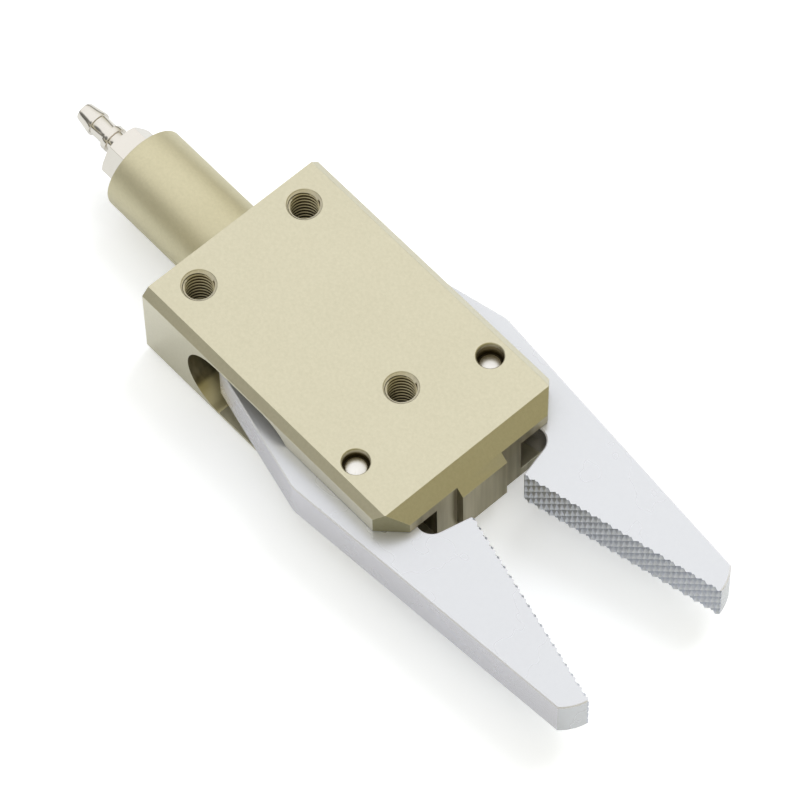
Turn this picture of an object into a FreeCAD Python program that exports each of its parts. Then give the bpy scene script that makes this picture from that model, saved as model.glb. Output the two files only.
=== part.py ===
import FreeCAD, Part
import math
import os

# Pneumatic sprue gripper: a slotted block on a round shank, with two knurled plate jaws
# that turn on dowel pins. Air drives a wedge forwards between the jaws' tails, which
# closes the tips, and springs open them again. It is modelled with its jaws open.
# The origin lies on the shank's axis at the block's rear face. X runs forwards to the
# jaw tips, Y to the left and Z up. Sizes are in millimetres and angles in degrees.

Vector = FreeCAD.Vector

# Block
block_length = 52.8        # rear face to the front wall
block_width = 33.5
block_height = 16.0
side_chamfer = 1.25        # along the four long edges
nose_chamfer = 2.4         # along the top and bottom front edges
corner_cut = 3.7           # off the front's upright corners
tongue_reach = 1.25        # the tongue's stand-out from the front wall
tongue_width = 8.4
slot_height = 7.2
slot_depth = 8.75          # each jaw slot, in from the block's side
core_straight_length = 9.5 # full-width core between the slots, behind the front wall
core_taper_length = 10.0   # over which the core narrows behind that
core_relief = 2.4          # what it loses on each side over the taper
window_height = 12.7
window_length = 22.35
window_setback = 9.5       # rear face to the window's rear end

# Threaded fixing holes, cut to the thread's full diameter
thread_diameter = 5.0
thread_mouth_chamfer = 0.16
rear_hole_setback = 4.7
rear_hole_spacing = 20.0
front_hole_setback = 16.2  # behind the front wall

# Jaw pivots
pivot_setback = 11.6       # behind the front wall
pin_diameter = 4.0
pin_length = 12.0
pin_crown_radius = 6.0
pin_chamfer = 0.4
pin_mouth_chamfer = 0.17   # broken edge of the block around each pin
left_pin_recess = 2.15     # top of the pin below the block's top
right_pin_recess = 1.35
bush_wall = 1.0
bush_land = 0.7            # jaw metal between the bush and the jaw's inner edge
bush_running_gap = 0.03

# Jaws, drawn closed and then opened about their pivots
jaw_thickness = 7.0
open_angle = 13.4
grip_gap = 2.28            # between the knurled faces when they are parallel
heel_gap = 0.4             # knurled face's rear end ahead of the tongue
heel_chamfer = 0.5
grip_length = 32.9         # rear end of the knurled face to the tip
heel_fillet = 2.4
core_side_gap = 1.0        # jaw's inner edge beside the core
jaw_stand_out = 4.65       # closed jaw's outer edge beyond the block's side
shoulder_setback = 3.0     # outer corner behind the pivot
shoulder_round = 4.0
tip_width = 4.66           # knurled face to the outer corner of the tip
tip_setback = 1.05         # outer corner of the tip behind the tip
tip_crown = 0.35           # how far the tip's end bulges
tail_setback = 5.9         # jaw's tail ahead of the window's rear end
tail_outer_round = 1.0
nose_radius = 3.5          # tail's inner corner, which rides on the wedge
edge_break = 0.18

# Diamond knurl on the gripping faces
knurl_pitch = 1.74         # along the face, for grooves at 45 degrees
knurl_depth = 0.58
knurl_flank_angle = 48.0
knurl_phase = 0.3          # share of a pitch between the two sets at the top edge
knurl_cutter_height = 1.35 # of each groove's cutter, as a share of the groove's depth

# Barrel, which is both the clamping shank and the air cylinder
shank_diameter = 14.0
shank_length = 19.7
shank_chamfer = 0.15
spigot_diameter = 12.0
spigot_length = 6.5
cylinder_bore = 10.0
cylinder_end_wall = 3.2
port_diameter = 5.0

# Hose nipple
hexagon_across_flats = 8.0
hexagon_length = 3.8
hexagon_turn = 5.0         # about its axis, as it came to rest when tightened
hexagon_corner_chamfer = 0.45
barb_seal_thickness = 0.5
barb_seal_width = 1.2
port_thread_length = 2.6
port_thread_gap = 0.03
nipple_length = 8.9
nipple_tip_radius = 1.5
nipple_barb_radius = 2.0
nipple_barb_length = 3.2
nipple_barb_land = 0.45    # straight part at the barb's thick end
nipple_neck_radius = 1.7
nipple_ring_radius = 2.15
nipple_ring_length = 1.0
nipple_ring_setback = 2.95 # ring's rear edge behind the hexagon
nipple_bore = 2.0

# Piston and its seals
piston_gap = 0.05
piston_length = 5.2
piston_seal_section = 1.1
piston_seal_squeeze = 0.02
piston_seal_setback = 3.2  # groove's middle ahead of the piston's rear face
piston_groove_gap = 0.11   # on each side of the seal
bumper_thickness = 0.8
bumper_bore = 5.6
bumper_gap = 0.05
nut_across_flats = 5.5
nut_height = 1.8
nut_recess_gap = 0.25
nut_corner_bevel = 0.2

# Piston rod and its guide
rod_diameter = 4.0
rod_end_diameter = 3.0
rod_tail_stand_out = 0.3
rod_running_gap = 0.03
guide_length = 4.5
rod_passage_gap = 0.8
rod_wedge_depth = 6.0      # rod's end inside the wedge

# Wedge between the jaws' tails
wedge_half_angle = 40.0
wedge_thickness = 6.0
wedge_rear_gap = 0.2       # to the rear wall of the window
wedge_nose_gap = 0.18      # to the jaws' noses, taken up over the stroke
wedge_tip_width = 4.4
wedge_edge_length = 0.6    # straight sides at the rear
wedge_pin_diameter = 1.5
wedge_pin_setback = 3.2    # ahead of the wedge's rear face

# Springs
return_wire = 0.7
return_mean_diameter = 6.8
return_turns = 6.0
spring_seat_thickness = 0.5
spring_seat_bore_gap = 0.5
seat_rim_gap = 0.15
opening_wire = 0.7
opening_mean_diameter = 4.2
opening_turns = 8.0
opening_bore_gap = 0.35
opening_pocket_depth = 0.8
opening_spring_setback = 5.8   # behind the front wall
spring_end_gap = 0.06
spring_steps = 8           # straight runs to each turn
spring_wire_sides = 6

# Places worked out from the sizes above
half_height = block_height / 2
half_width = block_width / 2
half_slot = slot_height / 2
tongue_front = block_length + tongue_reach
top_length = block_length - nose_chamfer
window_radius = window_height / 2
window_rear_centre = window_setback + window_radius
window_front_centre = window_setback + window_length - window_radius
core_half = half_width - slot_depth
front_hole_x = block_length - front_hole_setback
jaw_half = jaw_thickness / 2
jaw_inner_y = core_half + core_side_gap
jaw_tail_x = window_setback + tail_setback
jaw_heel_x = tongue_front + heel_gap
grip_y = grip_gap / 2
bush_radius = pin_diameter / 2 + bush_wall
pivot_x = block_length - pivot_setback
pivot_y = jaw_inner_y + bush_land + bush_radius
opening_spring_x = block_length - opening_spring_setback
opening_spring_radius = (opening_mean_diameter + opening_wire) / 2
cylinder_rear = cylinder_end_wall - shank_length
piston_rear = cylinder_rear + bumper_thickness + bumper_gap
piston_front = piston_rear + piston_length
guide_rear = spigot_length - guide_length
seat_rear = guide_rear - spring_seat_thickness
wedge_half_thickness = wedge_thickness / 2
window_rear_at_wedge = window_rear_centre - math.sqrt(window_radius ** 2 - wedge_half_thickness ** 2)
wedge_rear = window_rear_at_wedge + wedge_rear_gap


def point(x, y):
    return Vector(x, y, 0)


def outline(corners):
    """Closed wire in the XY plane through (x, y, round) corners, each rounded by its radius."""
    tangents = []
    count = len(corners)
    for i, (x, y, radius) in enumerate(corners):
        corner = point(x, y)
        back = point(*corners[i - 1][:2]) - corner
        ahead = point(*corners[(i + 1) % count][:2]) - corner
        back.normalize()
        ahead.normalize()
        if radius <= 0:
            tangents.append((corner, None, corner))
            continue
        half_turn = back.getAngle(ahead) / 2
        reach = radius / math.tan(half_turn)
        middle = back + ahead
        middle.normalize()
        crest = corner + middle * (radius / math.sin(half_turn) - radius)
        tangents.append((corner + back * reach, crest, corner + ahead * reach))
    edges = []
    for i, (start, crest, end) in enumerate(tangents):
        if crest is not None:
            edges.append(Part.Arc(start, crest, end).toShape())
        following = tangents[(i + 1) % count][0]
        edges.append(Part.LineSegment(end, following).toShape())
    return Part.Wire(edges)


def plate(wire, bottom, top):
    """Upright plate between two levels, from a closed wire in the XY plane."""
    wire = wire.copy()
    wire.translate(Vector(0, 0, bottom))
    return Part.Face(wire).extrude(Vector(0, 0, top - bottom))


def turned(profile):
    """Solid of revolution about the X axis, from (x, radius) corners."""
    corners = [Vector(x, r, 0) for x, r in profile]
    wire = Part.makePolygon(corners + corners[:1])
    return Part.Face(wire).revolve(Vector(0, 0, 0), Vector(1, 0, 0), 360)


def rod_along_x(radius, start, end):
    return Part.makeCylinder(radius, end - start, Vector(start, 0, 0), Vector(1, 0, 0))


def rod_along_z(radius, x, y, bottom, top):
    return Part.makeCylinder(radius, top - bottom, Vector(x, y, bottom), Vector(0, 0, 1))


def corner_radius_of(across_flats):
    """Radius of the circle through a hexagon's corners."""
    return across_flats / 2 / math.cos(math.radians(30))


def hexagon(across_flats, start, end):
    """Hexagonal bar along X with two corners on the Y axis."""
    radius = corner_radius_of(across_flats)
    corners = []
    for i in range(6):
        angle = math.radians(60 * i)
        corners.append(Vector(start, radius * math.cos(angle), radius * math.sin(angle)))
    wire = Part.makePolygon(corners + corners[:1])
    return Part.Face(wire).extrude(Vector(end - start, 0, 0))


def mirrored(shape):
    """The same shape on the other side of the centre plane."""
    return shape.mirror(Vector(0, 0, 0), Vector(0, 1, 0))


def opened(shape):
    """A left-hand piece turned about the left pivot from closed to open."""
    turned_shape = shape.copy()
    turned_shape.rotate(Vector(pivot_x, pivot_y, 0), Vector(0, 0, 1), open_angle)
    return turned_shape


def opened_point(x, y):
    """Where a point of the closed left jaw lies when the jaw is open."""
    angle = math.radians(open_angle)
    dx, dy = x - pivot_x, y - pivot_y
    return (pivot_x + dx * math.cos(angle) - dy * math.sin(angle),
            pivot_y + dx * math.sin(angle) + dy * math.cos(angle))


def hole_cutter(radius, mouth_chamfer, x, y):
    """Cutter for a hole through the block, with a chamfered mouth at each end."""
    cutter = rod_along_z(radius, x, y, -half_height - 1, half_height + 1)
    for side in (1, -1):
        face = Vector(x, y, side * half_height)
        mouth = Part.makeCone(radius + mouth_chamfer, radius, mouth_chamfer, face, Vector(0, 0, -side))
        cutter = cutter.fuse(mouth)
    return cutter


def block_envelope():
    """The block's outside: chamfered long edges, a chamfered nose and a tongue between the slots."""
    nose_low = half_height - nose_chamfer - tongue_reach
    side_view = [(0, -half_height), (top_length, -half_height), (tongue_front, -nose_low),
                 (tongue_front, nose_low), (top_length, half_height), (0, half_height)]
    corners = [Vector(x, -half_width, z) for x, z in side_view]
    body = Part.Face(Part.makePolygon(corners + corners[:1])).extrude(Vector(0, block_width, 0))

    shelf_y = half_width - side_chamfer
    shelf_z = half_height - side_chamfer
    end_view = [(-half_width, -shelf_z), (-shelf_y, -half_height), (shelf_y, -half_height),
                (half_width, -shelf_z), (half_width, shelf_z), (shelf_y, half_height),
                (-shelf_y, half_height), (-half_width, shelf_z)]
    corners = [Vector(0, y, z) for y, z in end_view]
    bar = Part.Face(Part.makePolygon(corners + corners[:1])).extrude(Vector(tongue_front, 0, 0))
    body = body.common(bar)

    tongue_half = tongue_width / 2
    for side in (1, -1):
        beside_tongue = outline([(block_length, side * tongue_half, 0),
                                 (tongue_front + 1, side * tongue_half, 0),
                                 (tongue_front + 1, side * (half_width + 1), 0),
                                 (block_length, side * (half_width + 1), 0)])
        corner = outline([(block_length - corner_cut, side * half_width, 0),
                          (block_length, side * (half_width - corner_cut), 0),
                          (block_length + 1, side * (half_width - corner_cut - 1), 0),
                          (block_length + 1, side * (half_width + 1), 0),
                          (block_length - corner_cut - 1, side * (half_width + 1), 0)])
        body = body.cut(plate(beside_tongue, -block_height, block_height))
        body = body.cut(plate(corner, -block_height, block_height))
    return body


def make_body_block():
    """Block with its window, jaw slots, bores and holes."""
    block = block_envelope()

    lower, upper = -window_radius, window_radius
    rear, front = window_rear_centre, window_front_centre
    side = half_width + 1
    window_edges = [
        Part.LineSegment(Vector(rear, -side, lower), Vector(front, -side, lower)).toShape(),
        Part.Arc(Vector(front, -side, lower), Vector(front + window_radius, -side, 0),
                 Vector(front, -side, upper)).toShape(),
        Part.LineSegment(Vector(front, -side, upper), Vector(rear, -side, upper)).toShape(),
        Part.Arc(Vector(rear, -side, upper), Vector(rear - window_radius, -side, 0),
                 Vector(rear, -side, lower)).toShape(),
    ]
    window = Part.Face(Part.Wire(window_edges)).extrude(Vector(0, 2 * side, 0))
    block = block.cut(window)

    straight_start = block_length - core_straight_length
    taper_start = straight_start - core_taper_length
    narrow_half = core_half - core_relief
    for hand in (1, -1):
        slot = outline([(window_front_centre, hand * narrow_half, 0),
                        (taper_start, hand * narrow_half, 0),
                        (straight_start, hand * core_half, 0),
                        (tongue_front + 1, hand * core_half, 0),
                        (tongue_front + 1, hand * (half_width + 1), 0),
                        (window_front_centre, hand * (half_width + 1), 0)])
        block = block.cut(plate(slot, -half_slot, half_slot))

    block = block.cut(rod_along_x(spigot_diameter / 2, -1, spigot_length))
    passage = rod_diameter / 2 + rod_passage_gap
    block = block.cut(rod_along_x(passage, 0, window_rear_centre))
    hole_y = rear_hole_spacing / 2
    for x, y in ((rear_hole_setback, hole_y), (rear_hole_setback, -hole_y), (front_hole_x, 0)):
        block = block.cut(hole_cutter(thread_diameter / 2, thread_mouth_chamfer, x, y))
    for y in (pivot_y, -pivot_y):
        block = block.cut(hole_cutter(pin_diameter / 2, pin_mouth_chamfer, pivot_x, y))
    cross_bore = Part.makeCylinder(opening_spring_radius + opening_bore_gap, 2 * core_half + 2,
                                   Vector(opening_spring_x, -core_half - 1, 0), Vector(0, 1, 0))
    return block.cut(cross_bore)


def make_barrel():
    """Turned barrel: shank outside, blind cylinder inside, and a spigot that seats in the block."""
    shank = shank_diameter / 2
    spigot = spigot_diameter / 2
    bore = cylinder_bore / 2
    port = port_diameter / 2
    return turned([(-shank_length, port), (-shank_length, shank - shank_chamfer),
                   (-shank_length + shank_chamfer, shank), (0, shank), (0, spigot),
                   (spigot_length, spigot), (spigot_length, bore), (cylinder_rear, bore),
                   (cylinder_rear, port)])


def make_barb_seal():
    """Flat sealing ring between the nipple's hexagon and the barrel."""
    inner = port_diameter / 2 + port_thread_gap
    ring = rod_along_x(inner + barb_seal_width, -shank_length - barb_seal_thickness, -shank_length)
    return ring.cut(rod_along_x(inner, -shank_length - 1, -shank_length + 1))


def make_hose_barb():
    """Hose nipple: threaded stud, hexagon, seating ring, neck and a tapered barb, bored through."""
    hexagon_front = -shank_length - barb_seal_thickness
    hexagon_rear = hexagon_front - hexagon_length
    bar = hexagon(hexagon_across_flats, hexagon_rear, hexagon_front)
    bar.rotate(Vector(0, 0, 0), Vector(1, 0, 0), hexagon_turn)
    corner_radius = corner_radius_of(hexagon_across_flats)
    slope = hexagon_corner_chamfer * math.tan(math.radians(30))
    bevel = turned([(hexagon_rear, 0), (hexagon_rear, corner_radius - hexagon_corner_chamfer),
                    (hexagon_rear + slope, corner_radius), (hexagon_front - slope, corner_radius),
                    (hexagon_front, corner_radius - hexagon_corner_chamfer), (hexagon_front, 0)])
    bar = bar.common(bevel)

    tip = hexagon_rear - nipple_length
    barb_end = tip + nipple_barb_length
    ring_rear = hexagon_rear - nipple_ring_setback
    ring_front = ring_rear + nipple_ring_length
    stem = turned([(tip, 0), (tip, nipple_tip_radius),
                   (barb_end - nipple_barb_land, nipple_barb_radius),
                   (barb_end, nipple_barb_radius), (barb_end, nipple_neck_radius),
                   (ring_rear, nipple_neck_radius), (ring_rear, nipple_ring_radius),
                   (ring_front, nipple_ring_radius), (ring_front, nipple_neck_radius),
                   (hexagon_rear, nipple_neck_radius), (hexagon_rear, 0)])
    stud = rod_along_x(port_diameter / 2 - port_thread_gap, hexagon_front,
                       -shank_length + port_thread_length)
    nipple = bar.fuse(stem).fuse(stud)
    return nipple.cut(rod_along_x(nipple_bore / 2, tip - 1, 0))


def jaw_outline():
    """The closed left jaw seen from above, anticlockwise from its heel."""
    tip_x = jaw_heel_x + grip_length
    outer_y = half_width + jaw_stand_out
    shoulder_x = pivot_x - shoulder_setback
    tip_corner = point(tip_x - tip_setback, grip_y + tip_width)
    tip_middle = point(tip_x - tip_setback / 2 + tip_crown, grip_y + tip_width * 0.55)
    grip_end = point(tip_x, grip_y)

    sides = outline([(grip_end.x, grip_end.y, 0), (tip_corner.x, tip_corner.y, 0),
                     (shoulder_x, outer_y, shoulder_round), (jaw_tail_x, outer_y, tail_outer_round),
                     (jaw_tail_x, jaw_inner_y, nose_radius), (jaw_heel_x, jaw_inner_y, heel_fillet),
                     (jaw_heel_x, grip_y + heel_chamfer, 0), (jaw_heel_x + heel_chamfer, grip_y, 0)])
    edges = sides.OrderedEdges
    edges[0] = Part.Arc(grip_end, tip_middle, tip_corner).toShape()
    return Part.Wire(edges)


def knurl_cutters():
    """V grooves at plus and minus 45 degrees across the whole of the left jaw's gripping face."""
    half_mouth = knurl_depth * math.tan(math.radians(knurl_flank_angle))
    half_run = (jaw_half + half_mouth) * math.sqrt(2)
    reach = jaw_half + half_mouth
    cutters = []
    for lean, phase in ((1, 0), (-1, knurl_phase)):
        along = Vector(1, 0, lean).normalize()
        across = Vector(1, 0, -lean).normalize()
        top_edge_start = jaw_heel_x - lean * jaw_half + phase * knurl_pitch
        skipped = math.ceil((jaw_heel_x - reach - top_edge_start) / knurl_pitch)
        first = top_edge_start + skipped * knurl_pitch
        count = math.ceil((jaw_heel_x + grip_length + reach - first) / knurl_pitch)
        for i in range(count):
            middle = Vector(first + i * knurl_pitch, grip_y, 0) - along * half_run
            crest = middle + Vector(0, knurl_depth, 0)
            corners = [crest + (middle - across * half_mouth - crest) * knurl_cutter_height,
                       crest + (middle + across * half_mouth - crest) * knurl_cutter_height, crest]
            section = Part.Face(Part.makePolygon(corners + corners[:1]))
            cutters.append(section.extrude(along * (2 * half_run)))
    return cutters


def make_jaw_left():
    """Plate jaw with broken edges, a bush bore, a spring pocket and a diamond-knurled face."""
    jaw = plate(jaw_outline(), -jaw_half, jaw_half)
    level = [edge for edge in jaw.Edges if edge.BoundBox.ZLength < 1e-6]
    jaw = jaw.makeChamfer(edge_break, level)

    jaw = jaw.cut(rod_along_z(bush_radius, pivot_x, pivot_y, -jaw_half - 1, jaw_half + 1))
    pocket = Part.makeCylinder(opening_spring_radius + opening_bore_gap / 2, opening_pocket_depth + 1,
                               Vector(opening_spring_x, jaw_inner_y - 1, 0), Vector(0, 1, 0))
    jaw = jaw.cut(pocket)
    jaw = jaw.cut(knurl_cutters())
    return opened(jaw)


def make_pivot_bush_left():
    """Bronze bush pressed into the left jaw."""
    bore = pin_diameter / 2 + bush_running_gap
    bush = rod_along_z(bush_radius, pivot_x, pivot_y, -jaw_half, jaw_half)
    return bush.cut(rod_along_z(bore, pivot_x, pivot_y, -jaw_half, jaw_half))


def crown_drop(radius):
    """How far the crowned end of a pin has fallen away at a radius."""
    return pin_crown_radius - math.sqrt(pin_crown_radius ** 2 - radius ** 2)


def make_pivot_pin(y, recess):
    """Dowel pin with chamfered, slightly crowned ends, pressed through both of the block's plates."""
    outer = pin_diameter / 2
    inner = outer - pin_chamfer
    half_length = pin_length / 2
    crown = [Vector(r, 0, half_length - crown_drop(r)) for r in (0, inner / 2, inner)]
    rim = crown[-1].z
    side = [crown[-1], Vector(outer, 0, rim - pin_chamfer), Vector(outer, 0, pin_chamfer - rim),
            Vector(inner, 0, -rim)]
    foot = [Vector(corner.x, 0, -corner.z) for corner in reversed(crown)]
    edges = [Part.Arc(*crown).toShape(), *Part.makePolygon(side).Edges, Part.Arc(*foot).toShape(),
             Part.LineSegment(foot[-1], crown[0]).toShape()]
    pin = Part.Face(Part.Wire(edges)).revolve(Vector(0, 0, 0), Vector(0, 0, 1), 360)
    pin.translate(Vector(pivot_x, y, half_height - recess - half_length))
    return pin


def make_end_bumper():
    """Rubber ring against the cylinder's closed end."""
    front = cylinder_rear + bumper_thickness
    ring = rod_along_x(cylinder_bore / 2 - seat_rim_gap, cylinder_rear, front)
    return ring.cut(rod_along_x(bumper_bore / 2, cylinder_rear, front))


def make_piston():
    """Piston with an O-ring groove, a recess for its nut and a bore for the rod's end."""
    outer = cylinder_bore / 2 - piston_gap
    groove = cylinder_bore / 2 - piston_seal_squeeze - piston_seal_section
    groove_half = piston_seal_section / 2 + piston_groove_gap
    groove_x = piston_rear + piston_seal_setback
    recess = piston_rear + nut_height
    nut_recess_radius = corner_radius_of(nut_across_flats) + nut_recess_gap
    bore = rod_end_diameter / 2
    return turned([(piston_rear, nut_recess_radius), (piston_rear, outer),
                   (groove_x - groove_half, outer), (groove_x - groove_half, groove),
                   (groove_x + groove_half, groove), (groove_x + groove_half, outer),
                   (piston_front, outer), (piston_front, bore), (recess, bore),
                   (recess, nut_recess_radius)])


def make_piston_seal():
    """Square ring in the piston's groove."""
    outer = cylinder_bore / 2 - piston_seal_squeeze
    inner = outer - piston_seal_section
    rear = piston_rear + piston_seal_setback - piston_seal_section / 2
    front = rear + piston_seal_section
    return turned([(rear, inner), (rear, outer), (front, outer), (front, inner)])


def make_piston_nut():
    """Hexagon nut that holds the piston on its rod."""
    end = piston_rear + nut_height
    nut = hexagon(nut_across_flats, piston_rear, end)
    corner_radius = corner_radius_of(nut_across_flats)
    bevel = turned([(piston_rear, 0), (piston_rear, corner_radius - nut_corner_bevel),
                    (piston_rear + nut_corner_bevel / 2, corner_radius), (end, corner_radius), (end, 0)])
    return nut.common(bevel).cut(rod_along_x(rod_end_diameter / 2, piston_rear - 1, end + 1))


def wedge_pin_hole():
    return rod_along_z(wedge_pin_diameter / 2, wedge_rear + wedge_pin_setback, 0,
                       -wedge_half_thickness - 1, wedge_half_thickness + 1)


def make_piston_rod():
    """Rod with a shoulder at the piston and a reduced end in the wedge."""
    shaft = rod_diameter / 2
    end = rod_end_diameter / 2
    return turned([(piston_rear - rod_tail_stand_out, 0), (piston_rear - rod_tail_stand_out, end),
                   (piston_front, end), (piston_front, shaft), (wedge_rear, shaft),
                   (wedge_rear, end), (wedge_rear + rod_wedge_depth, end),
                   (wedge_rear + rod_wedge_depth, 0)]).cut(wedge_pin_hole())


def make_rod_guide():
    """Bronze bush in the mouth of the cylinder, held by the block's shoulder."""
    guide = rod_along_x(cylinder_bore / 2, guide_rear, spigot_length)
    return guide.cut(rod_along_x(rod_diameter / 2 + rod_running_gap, guide_rear - 1, spigot_length + 1))


def make_spring_seat():
    """Washer between the return spring and the rod guide."""
    washer = rod_along_x(cylinder_bore / 2 - seat_rim_gap, seat_rear, guide_rear)
    return washer.cut(rod_along_x(rod_diameter / 2 + spring_seat_bore_gap, seat_rear - 1, guide_rear + 1))


def make_wedge():
    """Flat wedge whose sloping sides push the noses of both jaws apart."""
    slope = math.radians(wedge_half_angle)
    nose_x, nose_y = opened_point(jaw_tail_x + nose_radius, jaw_inner_y + nose_radius)
    touch_x = nose_x - (nose_radius + wedge_nose_gap) * math.sin(slope)
    touch_y = nose_y - (nose_radius + wedge_nose_gap) * math.cos(slope)
    slope_rear = wedge_rear + wedge_edge_length
    rear_half = touch_y + (touch_x - slope_rear) * math.tan(slope)
    tip_half = wedge_tip_width / 2
    front = touch_x + (touch_y - tip_half) / math.tan(slope)
    corners = [(wedge_rear, -rear_half, 0), (slope_rear, -rear_half, 0), (front, -tip_half, 0),
               (front, tip_half, 0), (slope_rear, rear_half, 0), (wedge_rear, rear_half, 0)]
    wedge = plate(outline(corners), -wedge_half_thickness, wedge_half_thickness)
    wedge = wedge.cut(rod_along_x(rod_end_diameter / 2, wedge_rear - 1, wedge_rear + rod_wedge_depth))
    return wedge.cut(wedge_pin_hole())


def make_wedge_pin():
    """Cross pin that locks the wedge to the rod."""
    return rod_along_z(wedge_pin_diameter / 2, wedge_rear + wedge_pin_setback, 0,
                       -wedge_half_thickness, wedge_half_thickness)


def coil(mean_radius, wire, length, turns):
    """Compression spring along Z from the XY plane, swept through short straight runs of wire."""
    steps = int(turns * spring_steps)
    path = []
    for i in range(steps + 1):
        angle = 2 * math.pi * i / spring_steps
        level = wire / 2 + (length - wire) * i / steps
        path.append(Vector(mean_radius * math.cos(angle), mean_radius * math.sin(angle), level))
    along = (path[1] - path[0]).normalize()
    upright = Vector(0, 0, 1) - along * along.z
    upright.normalize()
    sideways = along.cross(upright)
    section = []
    for i in range(spring_wire_sides):
        angle = 2 * math.pi * (i + 0.5) / spring_wire_sides
        section.append(path[0] + (upright * math.cos(angle) + sideways * math.sin(angle)) * (wire / 2))
    mitred = 1
    return Part.Wire(Part.makePolygon(path)).makePipeShell(
        [Part.makePolygon(section + section[:1])], True, False, mitred)


def make_return_spring():
    """Spring around the rod, between the piston and the spring seat."""
    start = piston_front + spring_end_gap
    spring = coil(return_mean_diameter / 2, return_wire, seat_rear - spring_end_gap - start, return_turns)
    spring.rotate(Vector(0, 0, 0), Vector(0, 1, 0), 90)
    spring.translate(Vector(start, 0, 0))
    return spring


def make_opening_spring():
    """Spring across the web that pushes the two jaws apart."""
    floor_y = jaw_inner_y + opening_pocket_depth
    rear_rim_y = opened_point(opening_spring_x - opening_spring_radius, floor_y)[1]
    front_rim_y = opened_point(opening_spring_x + opening_spring_radius, floor_y)[1]
    reach = min(rear_rim_y, front_rim_y) - spring_end_gap
    spring = coil(opening_mean_diameter / 2, opening_wire, 2 * reach, opening_turns)
    spring.translate(Vector(0, 0, -reach))
    spring.rotate(Vector(0, 0, 0), Vector(1, 0, 0), 90)
    spring.translate(Vector(opening_spring_x, 0, 0))
    return spring


def build():
    jaw_left = make_jaw_left()
    bush_left = make_pivot_bush_left()
    return {
        "body_block": make_body_block(),
        "barrel": make_barrel(),
        "barb_seal": make_barb_seal(),
        "hose_barb": make_hose_barb(),
        "end_bumper": make_end_bumper(),
        "piston": make_piston(),
        "piston_seal": make_piston_seal(),
        "piston_nut": make_piston_nut(),
        "piston_rod": make_piston_rod(),
        "return_spring": make_return_spring(),
        "spring_seat": make_spring_seat(),
        "rod_guide": make_rod_guide(),
        "wedge": make_wedge(),
        "wedge_pin": make_wedge_pin(),
        "opening_spring": make_opening_spring(),
        "jaw_left": jaw_left,
        "jaw_right": mirrored(jaw_left),
        "pivot_bush_left": bush_left,
        "pivot_bush_right": mirrored(bush_left),
        "pivot_pin_left": make_pivot_pin(pivot_y, left_pin_recess),
        "pivot_pin_right": make_pivot_pin(-pivot_y, right_pin_recess),
    }


os.makedirs("parts", exist_ok=True)
for name, shape in build().items():
    shape.exportStep(os.path.join("parts", name + ".step"))
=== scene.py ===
import math

import bmesh
import bpy
from mathutils import Matrix, Vector


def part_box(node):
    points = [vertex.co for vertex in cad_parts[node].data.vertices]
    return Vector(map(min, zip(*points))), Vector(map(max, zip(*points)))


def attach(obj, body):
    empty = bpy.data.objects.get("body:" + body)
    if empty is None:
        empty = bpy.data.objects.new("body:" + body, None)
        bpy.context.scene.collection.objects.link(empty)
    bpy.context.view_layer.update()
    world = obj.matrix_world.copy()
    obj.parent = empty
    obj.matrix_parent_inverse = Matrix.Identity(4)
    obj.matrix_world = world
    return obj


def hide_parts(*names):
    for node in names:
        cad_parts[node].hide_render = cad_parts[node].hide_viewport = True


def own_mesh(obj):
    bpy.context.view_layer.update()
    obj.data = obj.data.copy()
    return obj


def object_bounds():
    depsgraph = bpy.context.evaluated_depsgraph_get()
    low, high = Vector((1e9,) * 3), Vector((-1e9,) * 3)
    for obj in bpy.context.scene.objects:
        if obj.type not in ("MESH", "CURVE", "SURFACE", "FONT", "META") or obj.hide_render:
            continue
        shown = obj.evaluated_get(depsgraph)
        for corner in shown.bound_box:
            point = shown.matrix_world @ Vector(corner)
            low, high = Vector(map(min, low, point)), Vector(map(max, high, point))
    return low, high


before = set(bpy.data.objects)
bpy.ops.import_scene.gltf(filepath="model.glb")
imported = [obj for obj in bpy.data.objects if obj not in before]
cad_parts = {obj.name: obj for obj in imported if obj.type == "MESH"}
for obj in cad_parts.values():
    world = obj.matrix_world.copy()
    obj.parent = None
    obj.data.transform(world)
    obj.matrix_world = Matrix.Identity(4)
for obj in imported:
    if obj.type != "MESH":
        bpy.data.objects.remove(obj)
cad_lowest, cad_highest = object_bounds()

# Photographer's camera. It looks down on the gripper from its front left with a long lens,
# so that the block's edges stay nearly parallel.
mm = 0.001
photo_azimuth = math.radians(49.2126)
photo_elevation = math.radians(60.1895)
photo_roll = math.radians(-1.4234)
photo_distance = 776.79 * mm
photo_aim = Vector((34.504, 1.477, 0.0)) * mm
photo_lens = 246.07
film_width = 36.0
nearest_seen = 0.01
farthest_seen = 60.0

towards_camera = Vector((math.sin(photo_azimuth) * math.cos(photo_elevation),
                         -math.cos(photo_azimuth) * math.cos(photo_elevation),
                         math.sin(photo_elevation)))
level_right = (-towards_camera).cross(Vector((0, 0, 1))).normalized()
level_up = level_right.cross(-towards_camera)
camera_right = level_right * math.cos(photo_roll) + level_up * math.sin(photo_roll)
camera_up = level_up * math.cos(photo_roll) - level_right * math.sin(photo_roll)
camera_turn = Matrix((camera_right, camera_up, towards_camera)).transposed().to_4x4()

camera_data = bpy.data.cameras.new("photo_camera")
camera_data.lens = photo_lens
camera_data.sensor_width = film_width
camera_data.clip_start = nearest_seen
camera_data.clip_end = farthest_seen
camera = bpy.data.objects.new("photo_camera", camera_data)
camera.matrix_world = Matrix.Translation(photo_aim + towards_camera * photo_distance) @ camera_turn
bpy.context.scene.collection.objects.link(camera)
bpy.context.scene.camera = camera
bpy.context.scene.view_settings.view_transform = "Standard"

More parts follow.
